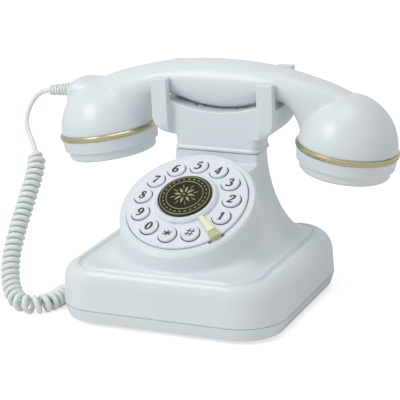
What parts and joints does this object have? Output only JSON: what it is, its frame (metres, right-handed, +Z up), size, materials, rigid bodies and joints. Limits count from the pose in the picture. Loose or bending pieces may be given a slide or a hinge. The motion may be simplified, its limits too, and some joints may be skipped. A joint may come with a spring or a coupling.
{
  "type": "desk telephone",
  "caption": "Retro desk telephone: flared pedestal base, ring of push keys in a dial, four-prong cradle, domed handset with gold bands and a curly cord.",
  "frame": {"origin": "on the table under the centre of the base, the cord left out", "axes": "+X to the right, -Y to the front (dial side), +Z up"},
  "size_m": [0.2481, 0.1409, 0.1415],
  "materials": {
    "white_shell": "satin white moulded plastic",
    "white_key": "satin white keys with dark figures",
    "gold": "polished pale gold",
    "antique": "dark antique bronze with pale relief",
    "ivory": "ivory gold finger stop",
    "rubber": "black rubber",
    "sheet": "grey silicone",
    "board": "green circuit board",
    "steel": "bright steel",
    "black_plastic": "black plastic",
    "clear_plug": "translucent plug",
    "cord": "off-white cord with a grey green cast"
  },
  "bodies": {
    "base": {"body_shell": "white_shell", "base_plate": "white_shell", "rubber_feet": "rubber", "base_screws": "steel", "main_board": "board", "main_board_screws": "steel", "ringer": "black_plastic", "ballast_weight": "steel", "dial_plate": "white_shell", "hub_ring": "white_shell", "finger_stop": "ivory", "key_sheet": "sheet", "key_board": "board", "key_board_screws": "steel", "cradle": "white_shell", "hook_bracket": "black_plastic", "cradle_screws": "steel", "hook_switch": "black_plastic", "handset_jack": "black_plastic", "line_jack": "black_plastic", "ringer_switch": "black_plastic", "tone_switch": "black_plastic", "cord_lead": "cord", "curly_cord": "cord", "cord_tail": "cord", "cord_plug": "clear_plug"},
    "handset": {"handset_shell": "white_shell", "ear_ring": "gold", "mouth_ring": "gold", "ear_cap": "white_shell", "mouth_cap": "white_shell", "receiver": "black_plastic", "microphone": "black_plastic", "handset_weight": "steel", "strain_relief": "cord"},
    "hook": {"hook_bridge": "black_plastic", "hook_plunger_right": "white_shell", "hook_plunger_left": "white_shell"},
    "redial": {"redial_key": "white_shell", "medallion": "antique"},
    "ringer_slider": {"ringer_knob": "black_plastic"},
    "tone_slider": {"tone_knob": "black_plastic"},
    "button_1": {"key_1": "white_key"},
    "button_2": {"key_2": "white_key"},
    "button_3": {"key_3": "white_key"},
    "button_4": {"key_4": "white_key"},
    "button_5": {"key_5": "white_key"},
    "button_6": {"key_6": "white_key"},
    "button_7": {"key_7": "white_key"},
    "button_8": {"key_8": "white_key"},
    "button_9": {"key_9": "white_key"},
    "button_0": {"key_0": "white_key"},
    "button_star": {"key_star": "white_key"},
    "button_hash": {"key_hash": "white_key"}
  },
  "joints": [
    {"name": "handset_lift", "type": "slide", "parent": "base", "child": "handset", "axis": [0, 0, 1], "range_m": [0, 0.06], "deforming": ["cord_lead", "curly_cord"]},
    {"name": "hook_rise", "type": "slide", "parent": "base", "child": "hook", "axis": [0, 0, 1], "range_m": [0, 0.004]},
    {"name": "press_1", "type": "slide", "parent": "base", "child": "button_1", "axis": [0, 0.4909, -0.8712], "range_m": [0, 0.0012], "stiffness_N_per_m": 400, "springref_m": -0.0005},
    {"name": "press_2", "type": "slide", "parent": "base", "child": "button_2", "axis": [0, 0.4909, -0.8712], "range_m": [0, 0.0012], "stiffness_N_per_m": 400, "springref_m": -0.0005},
    {"name": "press_3", "type": "slide", "parent": "base", "child": "button_3", "axis": [0, 0.4909, -0.8712], "range_m": [0, 0.0012], "stiffness_N_per_m": 400, "springref_m": -0.0005},
    {"name": "press_4", "type": "slide", "parent": "base", "child": "button_4", "axis": [0, 0.4909, -0.8712], "range_m": [0, 0.0012], "stiffness_N_per_m": 400, "springref_m": -0.0005},
    {"name": "press_5", "type": "slide", "parent": "base", "child": "button_5", "axis": [0, 0.4909, -0.8712], "range_m": [0, 0.0012], "stiffness_N_per_m": 400, "springref_m": -0.0005},
    {"name": "press_6", "type": "slide", "parent": "base", "child": "button_6", "axis": [0, 0.4909, -0.8712], "range_m": [0, 0.0012], "stiffness_N_per_m": 400, "springref_m": -0.0005},
    {"name": "press_7", "type": "slide", "parent": "base", "child": "button_7", "axis": [0, 0.4909, -0.8712], "range_m": [0, 0.0012], "stiffness_N_per_m": 400, "springref_m": -0.0005},
    {"name": "press_8", "type": "slide", "parent": "base", "child": "button_8", "axis": [0, 0.4909, -0.8712], "range_m": [0, 0.0012], "stiffness_N_per_m": 400, "springref_m": -0.0005},
    {"name": "press_9", "type": "slide", "parent": "base", "child": "button_9", "axis": [0, 0.4909, -0.8712], "range_m": [0, 0.0012], "stiffness_N_per_m": 400, "springref_m": -0.0005},
    {"name": "press_0", "type": "slide", "parent": "base", "child": "button_0", "axis": [0, 0.4909, -0.8712], "range_m": [0, 0.0012], "stiffness_N_per_m": 400, "springref_m": -0.0005},
    {"name": "press_star", "type": "slide", "parent": "base", "child": "button_star", "axis": [0, 0.4909, -0.8712], "range_m": [0, 0.0012], "stiffness_N_per_m": 400, "springref_m": -0.0005},
    {"name": "press_hash", "type": "slide", "parent": "base", "child": "button_hash", "axis": [0, 0.4909, -0.8712], "range_m": [0, 0.0012], "stiffness_N_per_m": 400, "springref_m": -0.0005},
    {"name": "press_redial", "type": "slide", "parent": "base", "child": "redial", "axis": [0, 0.4909, -0.8712], "range_m": [0, 0.0012], "stiffness_N_per_m": 500, "springref_m": -0.0005},
    {"name": "ringer_slide", "type": "slide", "parent": "base", "child": "ringer_slider", "axis": [1, 0, 0], "range_m": [0, 0.005]},
    {"name": "tone_slide", "type": "slide", "parent": "base", "child": "tone_slider", "axis": [1, 0, 0], "range_m": [0, 0.005]}
  ],
  "couplings": [
    {"joint": "hook_rise", "follows": "handset_lift", "ratio": 0.066667}
  ]
}
